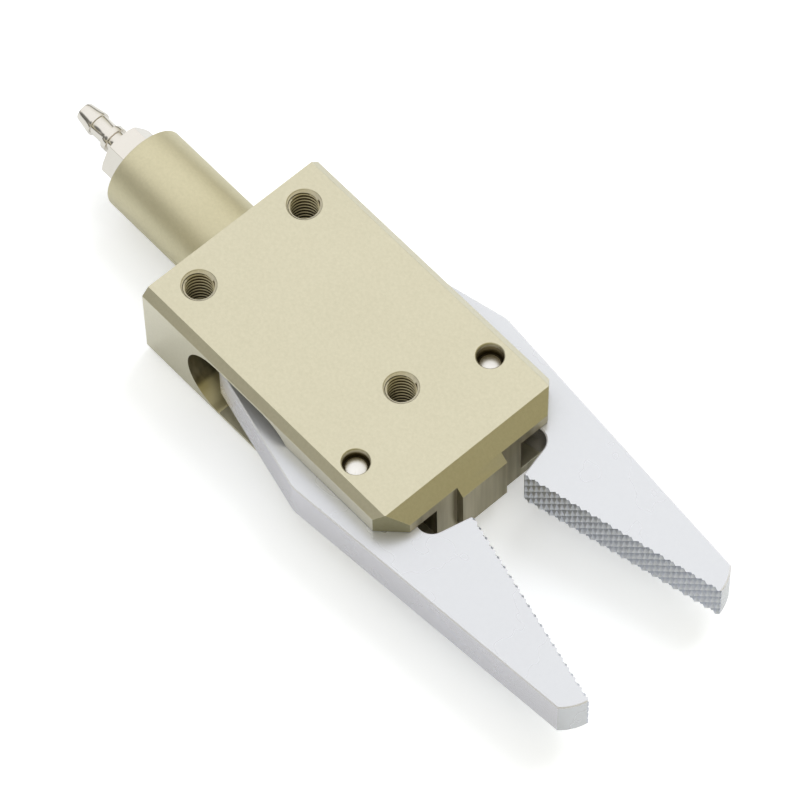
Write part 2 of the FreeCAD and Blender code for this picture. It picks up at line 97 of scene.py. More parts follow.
# White table top. The gripper lies on the underside of its block, and the table is lit so
# evenly that it shows as plain white with only a soft shadow beside the tool.
table_size = 40.0
table_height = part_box("body_block")[0].z
table_colour = (0.82, 0.845, 0.885, 1)
table_dullness = 0.9
table_lift_seen = 0.39
table_lift_mirrored = 0.06

table_paint = bpy.data.materials.new("table_paint")
table_paint.use_nodes = True
table_tree = table_paint.node_tree
shader = table_tree.nodes["Principled BSDF"]
shader.inputs["Base Color"].default_value = table_colour
shader.inputs["Roughness"].default_value = table_dullness
shader.inputs["Specular IOR Level"].default_value = 0.0
glow = table_tree.nodes.new("ShaderNodeEmission")
glow.inputs["Color"].default_value = (1, 1, 1, 1)
path = table_tree.nodes.new("ShaderNodeLightPath")
mirrored = table_tree.nodes.new("ShaderNodeMath")
mirrored.operation = "MAXIMUM"
table_tree.links.new(path.outputs["Is Glossy Ray"], mirrored.inputs[0])
table_tree.links.new(path.outputs["Is Transmission Ray"], mirrored.inputs[1])
mirrored_lift = table_tree.nodes.new("ShaderNodeMath")
mirrored_lift.operation = "MULTIPLY"
mirrored_lift.inputs[1].default_value = table_lift_mirrored
table_tree.links.new(mirrored.outputs[0], mirrored_lift.inputs[0])
lift = table_tree.nodes.new("ShaderNodeMath")
lift.operation = "MULTIPLY_ADD"
lift.inputs[1].default_value = table_lift_seen
table_tree.links.new(path.outputs["Is Camera Ray"], lift.inputs[0])
table_tree.links.new(mirrored_lift.outputs[0], lift.inputs[2])
table_tree.links.new(lift.outputs[0], glow.inputs["Strength"])
both = table_tree.nodes.new("ShaderNodeAddShader")
table_tree.links.new(shader.outputs[0], both.inputs[0])
table_tree.links.new(glow.outputs[0], both.inputs[1])
table_tree.links.new(both.outputs[0], table_tree.nodes["Material Output"].inputs["Surface"])


def make_piece(name, bm, *materials):
    """Makes a finished bmesh a piece of the scene, with its materials."""
    mesh = bpy.data.meshes.new(name)
    bm.to_mesh(mesh)
    bm.free()
    for material in materials:
        mesh.materials.append(material)
    piece = bpy.data.objects.new(name, mesh)
    bpy.context.scene.collection.objects.link(piece)
    return piece


bm = bmesh.new()
bmesh.ops.create_grid(bm, x_segments=1, y_segments=1, size=table_size / 2,
                      matrix=Matrix.Translation((0, 0, table_height)))
table = make_piece("table", bm, table_paint)

# Studio light: a white room, bright overhead and behind the tool, and a warm grey in front of
# it. Its walls are dark along the floor, and two dark screens on the tool's right draw the
# streaks in its round parts. One soft lamp on the tool's left only throws the faint shadow.
room_axis = (-0.55, 0.0, 0.83)
room_dim_end = -0.05
room_bright_start = 0.95
room_dim = (0.35, 0.305, 0.12, 1)
room_bright = (1.1, 1.1, 1.1, 1)
wall_foot_top = 0.30
wall_foot_shade = 0.03
right_screen = (-0.376, -0.775, 0.508)
right_screen_edge = 0.950
right_screen_middle = 0.988
rear_screen = (-0.70, -0.65, 0.295)
rear_screen_edge = 0.972
rear_screen_middle = 0.996
dark_screen_shade = 0.2
lamp_direction = Vector((-0.05, 0.62, 0.78)).normalized()
lamp_distance = 0.9
lamp_width = 0.6
lamp_power = 3.6

world = bpy.data.worlds.new("white_room")
bpy.context.scene.world = world
world.use_nodes = True
room_tree = world.node_tree
direction = room_tree.nodes.new("ShaderNodeTexCoord")


def room_shade(axis, low, high, at_low, at_high):
    """Shade that changes smoothly as the direction looked in turns towards an axis."""
    product = room_tree.nodes.new("ShaderNodeVectorMath")
    product.operation = "DOT_PRODUCT"
    product.inputs[1].default_value = axis
    room_tree.links.new(direction.outputs["Generated"], product.inputs[0])
    change = room_tree.nodes.new("ShaderNodeMapRange")
    change.interpolation_type = "SMOOTHSTEP"
    change.inputs["From Min"].default_value = low
    change.inputs["From Max"].default_value = high
    change.inputs["To Min"].default_value = at_low
    change.inputs["To Max"].default_value = at_high
    room_tree.links.new(product.outputs["Value"], change.inputs["Value"])
    return change.outputs[0]


room = room_tree.nodes.new("ShaderNodeMix")
room.data_type = "RGBA"
room.inputs["A"].default_value = room_dim
room.inputs["B"].default_value = room_bright
room_tree.links.new(room_shade(room_axis, room_dim_end, room_bright_start, 0.0, 1.0),
                    room.inputs["Factor"])
strength = room_shade((0, 0, 1), 0.0, wall_foot_top, wall_foot_shade, 1.0)
for screen, edge, middle in ((right_screen, right_screen_edge, right_screen_middle),
                             (rear_screen, rear_screen_edge, rear_screen_middle)):
    darkened = room_tree.nodes.new("ShaderNodeMath")
    darkened.operation = "MULTIPLY"
    room_tree.links.new(strength, darkened.inputs[0])
    room_tree.links.new(room_shade(screen, edge, middle, 1.0, dark_screen_shade),
                        darkened.inputs[1])
    strength = darkened.outputs[0]
background = room_tree.nodes["Background"]
room_tree.links.new(room.outputs["Result"], background.inputs["Color"])
room_tree.links.new(strength, background.inputs["Strength"])

lamp_data = bpy.data.lights.new("soft_lamp", "AREA")
lamp_data.shape = "DISK"
lamp_data.size = lamp_width
lamp_data.energy = lamp_power
lamp = bpy.data.objects.new("soft_lamp", lamp_data)
lamp.matrix_world = (Matrix.Translation(photo_aim + lamp_direction * lamp_distance)
                     @ lamp_direction.to_track_quat("Z", "Y").to_matrix().to_4x4())
lamp.visible_glossy = False
bpy.context.scene.collection.objects.link(lamp)

# Block. It is milled from aluminium bar, bead-blasted to a fine satin and anodised a pale
# champagne. The blasting leaves a faint speckle and the broken edges catch the light. Inside
# the two pin holes, shade is painted into the colour, darker from their top down.
blast_grain_size = 0.11 * mm
grain_depth = 0.02 * mm
pit_detail, pit_roughness = 2.0, 0.6
speckle_detail, speckle_roughness = 4.0, 0.7
speckle_scale = 0.23
sheen_detail, sheen_roughness = 3.0, 0.5
sheen_scale = 90.0
sheen_low_noise, sheen_high_noise = 0.3, 0.7
coat_ior = 1.8
champagne = (0.72, 0.675, 0.50, 1)
champagne_shadow = (0.55, 0.515, 0.35, 1)
block_edge_break = 0.10 * mm
edge_break_segments = 2
sharp_edge = math.radians(32)
facet_join = 0.0005 * mm
pin_places = ((41.2 * mm, 12.7 * mm), (41.2 * mm, -12.7 * mm))
pin_hole_radius = 2.06 * mm
pin_hole_top = 7.8 * mm
bore_shade_fade = 0.8 * mm
# Painted shade: the colour the pin holes darken to, deeper down, where shade falls in them.
pin_hole_painted_shade = (0.16, 0.125, 0.05, 1)


def add_noise(tree, place, detail, roughness):
    """Noise on a piece's own coordinates."""
    noise = tree.nodes.new("ShaderNodeTexNoise")
    noise.inputs["Detail"].default_value = detail
    noise.inputs["Roughness"].default_value = roughness
    tree.links.new(place.outputs["Object"], noise.inputs["Vector"])
    return noise


def make_blasted_grain():
    """Group that gives a blasted surface's bumps, its speckle and its slow change of sheen."""
    group = bpy.data.node_groups.new("blasted_grain", "ShaderNodeTree")
    for name in ("Grain Size", "Sheen Low", "Sheen High"):
        group.interface.new_socket(name, in_out="INPUT", socket_type="NodeSocketFloat")
    for name in ("Height", "Speckle", "Roughness"):
        group.interface.new_socket(name, in_out="OUTPUT", socket_type="NodeSocketFloat")
    start = group.nodes.new("NodeGroupInput")
    end = group.nodes.new("NodeGroupOutput")
    place = group.nodes.new("ShaderNodeTexCoord")
    fineness = group.nodes.new("ShaderNodeMath")
    fineness.operation = "DIVIDE"
    fineness.inputs[0].default_value = 1.0
    group.links.new(start.outputs["Grain Size"], fineness.inputs[1])
    pits = add_noise(group, place, pit_detail, pit_roughness)
    group.links.new(fineness.outputs[0], pits.inputs["Scale"])
    group.links.new(pits.outputs["Fac"], end.inputs["Height"])
    coarse = group.nodes.new("ShaderNodeMath")
    coarse.operation = "MULTIPLY"
    coarse.inputs[1].default_value = speckle_scale
    group.links.new(fineness.outputs[0], coarse.inputs[0])
    speckle = add_noise(group, place, speckle_detail, speckle_roughness)
    group.links.new(coarse.outputs[0], speckle.inputs["Scale"])
    group.links.new(speckle.outputs["Fac"], end.inputs["Speckle"])
    slow = add_noise(group, place, sheen_detail, sheen_roughness)
    slow.inputs["Scale"].default_value = sheen_scale
    sheen = group.nodes.new("ShaderNodeMapRange")
    sheen.inputs["From Min"].default_value = sheen_low_noise
    sheen.inputs["From Max"].default_value = sheen_high_noise
    group.links.new(slow.outputs["Fac"], sheen.inputs["Value"])
    group.links.new(start.outputs["Sheen Low"], sheen.inputs["To Min"])
    group.links.new(start.outputs["Sheen High"], sheen.inputs["To Max"])
    group.links.new(sheen.outputs[0], end.inputs["Roughness"])
    return group


blasted_grain = make_blasted_grain()


def blasted_metal(name, light, dark, grain_size, sheen, bump, metallic, coat=0.0):
    """Material with the blasted grain: two shades, a range of sheen and the depth of its bumps."""
    metal = bpy.data.materials.new(name)
    metal.use_nodes = True
    tree = metal.node_tree
    shader = tree.nodes["Principled BSDF"]
    shader.inputs["Metallic"].default_value = metallic
    shader.inputs["Coat Weight"].default_value = coat
    shader.inputs["Coat Roughness"].default_value = sheen[1]
    shader.inputs["Coat IOR"].default_value = coat_ior
    grain = tree.nodes.new("ShaderNodeGroup")
    grain.node_tree = blasted_grain
    grain.inputs["Grain Size"].default_value = grain_size
    grain.inputs["Sheen Low"].default_value = sheen[0]
    grain.inputs["Sheen High"].default_value = sheen[1]
    shade = tree.nodes.new("ShaderNodeMix")
    shade.data_type = "RGBA"
    shade.inputs["A"].default_value = dark
    shade.inputs["B"].default_value = light
    tree.links.new(grain.outputs["Speckle"], shade.inputs["Factor"])
    tree.links.new(shade.outputs["Result"], shader.inputs["Base Color"])
    tree.links.new(grain.outputs["Roughness"], shader.inputs["Roughness"])
    relief = tree.nodes.new("ShaderNodeBump")
    relief.inputs["Strength"].default_value = bump
    relief.inputs["Distance"].default_value = grain_depth
    tree.links.new(grain.outputs["Height"], relief.inputs["Height"])
    tree.links.new(relief.outputs["Normal"], shader.inputs["Normal"])
    return metal


def dress(node, material):
    """Gives one CAD node its finish."""
    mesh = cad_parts[node].data
    mesh.materials.clear()
    mesh.materials.append(material)


def break_edges(node, width):
    """Joins a CAD node's loose facets and rounds its sharp edges."""
    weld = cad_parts[node].modifiers.new("joined", "WELD")
    weld.merge_threshold = facet_join
    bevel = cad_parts[node].modifiers.new("broken_edges", "BEVEL")
    bevel.width = width
    bevel.segments = edge_break_segments
    bevel.limit_method = "ANGLE"
    bevel.angle_limit = sharp_edge


def paint_bore_shade(material, places, radius, top, fade, shade):
    """Paints shade into upright bores at the given places, more and more from their top down."""
    tree = material.node_tree
    shader = tree.nodes["Principled BSDF"]
    plain = shader.inputs["Base Color"].links[0].from_socket
    place = tree.nodes.new("ShaderNodeTexCoord")
    level = tree.nodes.new("ShaderNodeSeparateXYZ")
    tree.links.new(place.outputs["Object"], level.inputs[0])
    flat = tree.nodes.new("ShaderNodeCombineXYZ")
    tree.links.new(level.outputs["X"], flat.inputs["X"])
    tree.links.new(level.outputs["Y"], flat.inputs["Y"])
    inside = None
    for x, y in places:
        away = tree.nodes.new("ShaderNodeVectorMath")
        away.operation = "DISTANCE"
        away.inputs[1].default_value = (x, y, 0)
        tree.links.new(flat.outputs[0], away.inputs[0])
        near = tree.nodes.new("ShaderNodeMath")
        near.operation = "LESS_THAN"
        near.inputs[1].default_value = radius
        tree.links.new(away.outputs["Value"], near.inputs[0])
        if inside is not None:
            either = tree.nodes.new("ShaderNodeMath")
            either.operation = "MAXIMUM"
            tree.links.new(inside, either.inputs[0])
            tree.links.new(near.outputs[0], either.inputs[1])
            near = either
        inside = near.outputs[0]
    deep = tree.nodes.new("ShaderNodeMapRange")
    deep.inputs["From Min"].default_value = top
    deep.inputs["From Max"].default_value = top - fade
    tree.links.new(level.outputs["Z"], deep.inputs["Value"])
    amount = tree.nodes.new("ShaderNodeMath")
    amount.operation = "MULTIPLY"
    tree.links.new(inside, amount.inputs[0])
    tree.links.new(deep.outputs[0], amount.inputs[1])
    darker = tree.nodes.new("ShaderNodeMix")
    darker.data_type = "RGBA"
    darker.inputs["B"].default_value = shade
    tree.links.new(amount.outputs[0], darker.inputs["Factor"])
    tree.links.new(plain, darker.inputs["A"])
    tree.links.new(darker.outputs["Result"], shader.inputs["Base Color"])
    open_coat = tree.nodes.new("ShaderNodeMath")
    open_coat.operation = "SUBTRACT"
    open_coat.inputs[0].default_value = 1.0
    tree.links.new(amount.outputs[0], open_coat.inputs[1])
    tree.links.new(open_coat.outputs[0], shader.inputs["Coat Weight"])


anodised = blasted_metal("champagne_anodised", champagne, champagne_shadow, blast_grain_size,
                         sheen=(0.32, 0.38), bump=0.25, metallic=0.75, coat=1.0)
# Painted shade inside the two pin holes, where their coat is taken away too.
paint_bore_shade(anodised, pin_places, pin_hole_radius, pin_hole_top, bore_shade_fade, pin_hole_painted_shade)
dress("body_block", anodised)
break_edges("body_block", block_edge_break)

# Milled faces of the block: the walls of its window and jaw slots and the faces at its nose.
# They were cut after the blasting, so they are duller and keep the cutter's upright marks; their
# darker colour is partly painted shade, and flat floors keep the anodised colour. In the window
# and on the slot walls they carry a darker painted shade with painted light at the window's foot,
# and the corner cuts at the nose are smooth and carry painted shade.
# Partly painted shade: the milled colours are darker than the anodising to stand in for the shade
# inside the block.
milled_light = (0.56, 0.51, 0.37, 1)
milled_dark = (0.41, 0.37, 0.25, 1)
# Painted shade: the darker colours deep in the window and on the slot walls.
deep_shade_light = (0.24, 0.21, 0.125, 1)
deep_shade_dark = (0.13, 0.11, 0.06, 1)
# Painted shade: the darker colours of the smooth corner cuts at the nose.
corner_shade_light = (0.39, 0.365, 0.225, 1)
corner_shade_dark = (0.29, 0.27, 0.16, 1)
# Painted light: the lighter colour at the foot of the window's walls.
foot_painted_light = (0.50, 0.45, 0.26, 1)
foot_light_top = -4.1 * mm
foot_light_bottom = -4.8 * mm
marks_scale = 900.0
marks_detail = 2.0
marks_stretch = 0.06
marks_low_noise, marks_high_noise = 0.32, 0.68
window_rear = 9.3 * mm
window_front = 30.0 * mm
window_half_height = 6.4 * mm
slot_walls_rear = 43.0 * mm
corner_cut_rear = 49.0 * mm
nose_rear = 50.0 * mm
side_inset = 0.05 * mm
hole_clearance = 2.7 * mm
thread_places = ((4.7 * mm, 10.0 * mm), (4.7 * mm, -10.0 * mm), (36.6 * mm, 0.0))
flat_floor = 0.9999
square_on = 0.9
slanted = 0.5
upright = 0.1


def milled_metal(name, light, dark):
    """Anodised aluminium as the cutter left it."""
    return blasted_metal(name, light, dark, blast_grain_size,
                         sheen=(0.36, 0.44), bump=0.1, metallic=0.75)


def cutter_marks(material, light, dark):
    """Draws upright marks of a milling cutter in two shades, and gives the material's colour."""
    tree = material.node_tree
    place = tree.nodes.new("ShaderNodeTexCoord")
    stretch = tree.nodes.new("ShaderNodeVectorMath")
    stretch.operation = "MULTIPLY"
    stretch.inputs[1].default_value = (1.0, 1.0, marks_stretch)
    tree.links.new(place.outputs["Object"], stretch.inputs[0])
    marks = tree.nodes.new("ShaderNodeTexNoise")
    marks.inputs["Scale"].default_value = marks_scale
    marks.inputs["Detail"].default_value = marks_detail
    tree.links.new(stretch.outputs[0], marks.inputs["Vector"])
    contrast = tree.nodes.new("ShaderNodeMapRange")
    contrast.inputs["From Min"].default_value = marks_low_noise
    contrast.inputs["From Max"].default_value = marks_high_noise
    tree.links.new(marks.outputs["Fac"], contrast.inputs["Value"])
    streaked = tree.nodes.new("ShaderNodeMix")
    streaked.data_type = "RGBA"
    streaked.inputs["A"].default_value = dark
    streaked.inputs["B"].default_value = light
    tree.links.new(contrast.outputs[0], streaked.inputs["Factor"])
    tree.links.new(streaked.outputs["Result"], tree.nodes["Principled BSDF"].inputs["Base Color"])
    return place, streaked.outputs["Result"]


milled = milled_metal("milled_anodised", milled_light, milled_dark)
cutter_marks(milled, milled_light, milled_dark)
corner_shade_milled = milled_metal("corner_milled_anodised", corner_shade_light, corner_shade_dark)
deep_shade_milled = milled_metal("deep_milled_anodised", deep_shade_light, deep_shade_dark)
place, marked = cutter_marks(deep_shade_milled, deep_shade_light, deep_shade_dark)
# Painted light at the foot of the window's walls, over the painted shade deep inside.
tree = deep_shade_milled.node_tree
level = tree.nodes.new("ShaderNodeSeparateXYZ")
tree.links.new(place.outputs["Object"], level.inputs[0])
towards_foot_light = tree.nodes.new("ShaderNodeMapRange")
towards_foot_light.interpolation_type = "SMOOTHSTEP"
towards_foot_light.inputs["From Min"].default_value = foot_light_top
towards_foot_light.inputs["From Max"].default_value = foot_light_bottom
tree.links.new(level.outputs["Z"], towards_foot_light.inputs["Value"])
lit = tree.nodes.new("ShaderNodeMix")
lit.data_type = "RGBA"
lit.inputs["B"].default_value = foot_painted_light
tree.links.new(towards_foot_light.outputs[0], lit.inputs["Factor"])
tree.links.new(marked, lit.inputs["A"])
tree.links.new(lit.outputs["Result"], tree.nodes["Principled BSDF"].inputs["Base Color"])

block_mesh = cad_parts["body_block"].data
for material in (milled, deep_shade_milled, corner_shade_milled):
    block_mesh.materials.append(material)
milled_index, deep_shade_index, corner_shade_index = 1, 2, 3
block_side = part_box("body_block")[1].y
upright_holes = pin_places + thread_places
# Painted shade: faces inside the block take the darker milled colours, the window and slot walls the
# darkest, and flat floors keep the anodised colour.
for face in block_mesh.polygons:
    centre = face.center
    normal = face.normal
    inside = (centre.x > window_rear and abs(centre.z) < window_half_height
              and abs(centre.y) < block_side - side_inset)
    in_hole = any(math.dist(hole, centre.xy) < hole_clearance for hole in upright_holes)
    on_hole_wall = in_hole and abs(normal.z) < slanted
    on_nose_slope = centre.x > nose_rear and normal.x > slanted and abs(normal.z) > slanted
    on_floor = normal.z > flat_floor
    on_slot_wall = centre.x > slot_walls_rear and abs(normal.y) > square_on
    on_corner_cut = (centre.x > corner_cut_rear and normal.x > slanted
                     and abs(normal.y) > slanted and abs(normal.z) < upright)
    if on_corner_cut:
        face.material_index = corner_shade_index
    elif inside and not (on_hole_wall or on_nose_slope or on_floor):
        face.material_index = deep_shade_index if centre.x < window_front or on_slot_wall else milled_index

# Threads of the fixing holes. They are M5 and tapped through the block. Their roots and flanks
# carry a dark painted shade, and their crests and the flank edges next to them a lighter painted
# light. A countersink at each mouth cuts the first turn away, and the fresh cut is bright.
thread_pitch = 0.8 * mm
thread_outer = 2.53 * mm
thread_inner = 2.07 * mm
# Painted light: how far the light band reaches down the flank from each crest.
thread_lit_depth = 0.12 * mm
thread_slope = math.radians(30)
thread_inset = 0.08 * mm
thread_steps = 48
thread_crease = math.radians(25)
countersink_radius = 2.63 * mm
merge_distance = 1e-7
block_top = cad_highest.z
thread_reach = block_top - thread_inset
thread_turns = math.ceil(2 * thread_reach / thread_pitch)
flank_rise = 5 / 16 * thread_pitch
crest_width = thread_pitch / 4
crest_top = flank_rise + crest_width
lit_band_radius = thread_inner + thread_lit_depth
lit_band_top = crest_top + thread_lit_depth * math.tan(thread_slope)
root, crest, mouth = range(3)
strips = ((root, (thread_outer, 0.0), (thread_inner, flank_rise)),
          (crest, (thread_inner, flank_rise), (thread_inner, crest_top)),
          (crest, (thread_inner, crest_top), (lit_band_radius, lit_band_top)),
          (root, (lit_band_radius, lit_band_top), (thread_outer, crest_top + flank_rise)))


def whole(bm):
    """Everything in a bmesh, for an operator."""
    return bm.verts[:] + bm.edges[:] + bm.faces[:]


def copy_moved(bm, geom, offset):
    """Copies part of a bmesh and moves the copy."""
    copied = bmesh.ops.duplicate(bm, geom=geom)["geom"]
    bmesh.ops.translate(bm, verts=[item for item in copied if isinstance(item, bmesh.types.BMVert)],
                        vec=offset)


def smooth_up_to(bm, crease):
    """Shades a bmesh smooth, but for the edges that turn by more than the crease."""
    for face in bm.faces:
        face.smooth = True
    for edge in bm.edges:
        edge.smooth = edge.calc_face_angle(0.0) < crease


bm = bmesh.new()
for part, start, end in strips:
    made = len(bm.faces)
    points = [bm.verts.new((r, 0, z - thread_reach)) for r, z in (start, end)]
    line = bm.edges.new(points)
    bmesh.ops.spin(bm, geom=points + [line], cent=(0, 0, 0), axis=(0, 0, 1),
                   dvec=(0, 0, thread_pitch / thread_steps), angle=2 * math.pi, steps=thread_steps)
    bm.faces.ensure_lookup_table()
    for face in bm.faces[made:]:
        face.material_index = part
turn = whole(bm)
for i in range(1, thread_turns):
    copy_moved(bm, turn, (0, 0, i * thread_pitch))
for side in (1, -1):
    bmesh.ops.bisect_plane(bm, geom=whole(bm), dist=merge_distance,
                           plane_co=(0, 0, side * thread_reach), plane_no=(0, 0, side),
                           clear_outer=True)
countersunk = set()
for vert in bm.verts:
    countersink = countersink_radius - (block_top - abs(vert.co.z))
    if countersink > thread_inner:
        vert.co.xy *= countersink / vert.co.xy.length
        countersunk.add(vert)
for face in bm.faces:
    if not countersunk.isdisjoint(face.verts):
        face.material_index = mouth
bmesh.ops.remove_doubles(bm, verts=bm.verts[:], dist=merge_distance)
bmesh.ops.recalc_face_normals(bm, faces=bm.faces[:])
smooth_up_to(bm, thread_crease)
hole = whole(bm)
for hole_x, hole_y in thread_places:
    copy_moved(bm, hole, (hole_x, hole_y, 0))
bmesh.ops.delete(bm, geom=hole, context="VERTS")
# Painted shade in the roots and painted light on the crests.
thread_root_shade = blasted_metal("thread_root_shade", (0.09, 0.06, 0.02, 1), (0.05, 0.03, 0.008, 1),
                            blast_grain_size, sheen=(0.45, 0.55), bump=0.1, metallic=0.5)
thread_crest_light = blasted_metal("thread_crest_light", (0.56, 0.50, 0.32, 1), (0.48, 0.42, 0.25, 1),
                             blast_grain_size, sheen=(0.30, 0.40), bump=0.1, metallic=0.8)
countersink_cut = blasted_metal("countersink_cut", (0.95, 0.90, 0.74, 1), (0.60, 0.55, 0.40, 1),
                                grain_size=0.09 * mm, sheen=(0.35, 0.45), bump=0.3, metallic=0.35)
threads = make_piece("hole_threads", bm, thread_root_shade, thread_crest_light, countersink_cut)
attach(threads, "housing")

# Barrel. It is turned from the same aluminium, blasted and anodised a shade warmer, and its
# rear rim is slightly rounded.
barrel_champagne = (0.735, 0.68, 0.475, 1)
barrel_shadow = (0.57, 0.53, 0.35, 1)
barrel_edge_break = 0.12 * mm
barrel_anodised = blasted_metal("barrel_anodised", barrel_champagne, barrel_shadow, blast_grain_size,
                                sheen=(0.43, 0.49), bump=0.2, metallic=0.8, coat=0.3)
dress("barrel", barrel_anodised)
break_edges("barrel", barrel_edge_break)

# Hose nipple and its sealing ring. The nipple is turned from hexagon bar and bright nickel
# plated, and a thin ring of pale nylon seals it against the barrel.
nipple_edge_break = 0.06 * mm
nickel = blasted_metal("bright_nickel", (0.80, 0.77, 0.71, 1), (0.76, 0.72, 0.66, 1),
                       grain_size=0.3 * mm, sheen=(0.10, 0.16), bump=0.05, metallic=1.0)
dress("hose_barb", nickel)
break_edges("hose_barb", nipple_edge_break)
nylon = blasted_metal("pale_nylon", (0.72, 0.70, 0.64, 1), (0.66, 0.64, 0.58, 1),
                      grain_size=0.2 * mm, sheen=(0.45, 0.55), bump=0.2, metallic=0.0)
dress("barb_seal", nylon)

# Jaws. They are milled from steel plate and nickel plated: satin on their tops and ground on
# their flanks, which are lighter partly as painted light, and dull on the lightly broken edges
# of their outline, whose pale grey is a painted highlight.
jaws = ("jaw_left", "jaw_right")
jaw_grain_size = 0.15 * mm
edge_lean = 0.3
top_lean = 0.95
satin_nickel = blasted_metal("satin_nickel", (0.735, 0.752, 0.80, 1), (0.695, 0.712, 0.76, 1),
                             jaw_grain_size, sheen=(0.24, 0.30), bump=0.15, metallic=0.5)
# Partly painted light: the flanks' nickel is lighter than the tops to stand in for the light they
# catch.
lit_ground_nickel = blasted_metal("lit_ground_nickel", (0.90, 0.89, 0.95, 1), (0.88, 0.87, 0.93, 1),
                              jaw_grain_size, sheen=(0.24, 0.30), bump=0.06, metallic=0.9)
# Painted highlight: the broken edges are a pale, dull grey that stands in for their highlight lines.
edge_highlight_nickel = blasted_metal("edge_highlight_nickel", (0.84, 0.84, 0.88, 1), (0.78, 0.78, 0.82, 1),
                            jaw_grain_size, sheen=(0.45, 0.55), bump=0.1, metallic=0.15)
lit_ground_index, edge_highlight_index, knurled_index = 1, 2, 3
for jaw in jaws:
    dress(jaw, satin_nickel)
    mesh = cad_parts[jaw].data
    mesh.materials.append(lit_ground_nickel)
    mesh.materials.append(edge_highlight_nickel)
    for face in mesh.polygons:
        lean = abs(face.normal.z)
        if edge_lean < lean < top_lean:
            face.material_index = edge_highlight_index
        elif lean <= edge_lean and face.normal.x < slanted:
            face.material_index = lit_ground_index

# Knurled faces of the jaws. Two crossing sets of grooves leave small pyramids. The nickel is
# dull there and keeps its plain colour on the crests, with painted shade that darkens it down
# in the grooves.
knurl_pivot = Vector((*pin_places[0], 0.0))
jaw_opening = math.radians(13.4)
knurl_facing = Vector((math.sin(jaw_opening), -math.cos(jaw_opening), 0.0))
knurl_crest = 11.56 * mm
knurl_depth = 0.58 * mm
knurl_root = knurl_crest - knurl_depth
knurl_margin = 0.02 * mm
knurl_light = (0.87, 0.89, 0.96, 1)
# Painted shade: the colour the knurl darkens to at its groove roots.
knurl_groove_shade = (0.60, 0.63, 0.71, 1)
knurled_nickel_groove_shade = blasted_metal("knurled_nickel_groove_shade", knurl_light, knurl_light, jaw_grain_size,
                               sheen=(0.42, 0.50), bump=0.15, metallic=0.8)
tree = knurled_nickel_groove_shade.node_tree
shader = tree.nodes["Principled BSDF"]
plain = shader.inputs["Base Color"].links[0].from_socket
place = tree.nodes.new("ShaderNodeTexCoord")
either_side = tree.nodes.new("ShaderNodeVectorMath")
either_side.operation = "ABSOLUTE"
tree.links.new(place.outputs["Object"], either_side.inputs[0])
from_pivot = tree.nodes.new("ShaderNodeVectorMath")
from_pivot.operation = "SUBTRACT"
from_pivot.inputs[1].default_value = knurl_pivot
tree.links.new(either_side.outputs[0], from_pivot.inputs[0])
height = tree.nodes.new("ShaderNodeVectorMath")
height.operation = "DOT_PRODUCT"
height.inputs[1].default_value = knurl_facing
tree.links.new(from_pivot.outputs[0], height.inputs[0])
crest_nearness = tree.nodes.new("ShaderNodeMapRange")
crest_nearness.interpolation_type = "SMOOTHSTEP"
crest_nearness.inputs["From Min"].default_value = knurl_root
crest_nearness.inputs["From Max"].default_value = knurl_crest
tree.links.new(height.outputs["Value"], crest_nearness.inputs["Value"])
groove_shaded = tree.nodes.new("ShaderNodeMix")
groove_shaded.data_type = "RGBA"
groove_shaded.inputs["A"].default_value = knurl_groove_shade
tree.links.new(crest_nearness.outputs[0], groove_shaded.inputs["Factor"])
tree.links.new(plain, groove_shaded.inputs["B"])
tree.links.new(groove_shaded.outputs["Result"], shader.inputs["Base Color"])
for jaw in jaws:
    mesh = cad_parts[jaw].data
    mesh.materials.append(knurled_nickel_groove_shade)
    for face in mesh.polygons:
        centre = Vector((face.center.x, abs(face.center.y), 0.0)) - knurl_pivot
        if centre.dot(knurl_facing) > knurl_root - knurl_margin and abs(face.normal.z) < top_lean:
            face.material_index = knurled_index

# Pivot pins. They are steel dowel pins, pressed in a little below the top of the block. Their
# crowned ends are ground bright, the chamfer round them is painted dark as the shade and
# reflection of the bore wall, and one has a small nick in its end.
pin_crown_radius = 6.0 * mm
pin_chamfer = 0.4 * mm
pin_rim_round = 0.05 * mm
pin_nick = Vector((0.72, -0.715)) * mm
pin_nick_radius = 0.16 * mm
pin_nick_depth = 0.10 * mm
pin_crease = math.radians(30)
crown_rings = 10
pin_sides = 96
pin_steel = blasted_metal("pin_steel", (0.95, 0.93, 0.89, 1), (0.80, 0.78, 0.74, 1),
                          grain_size=0.25 * mm, sheen=(0.30, 0.38), bump=0.05, metallic=1.0)
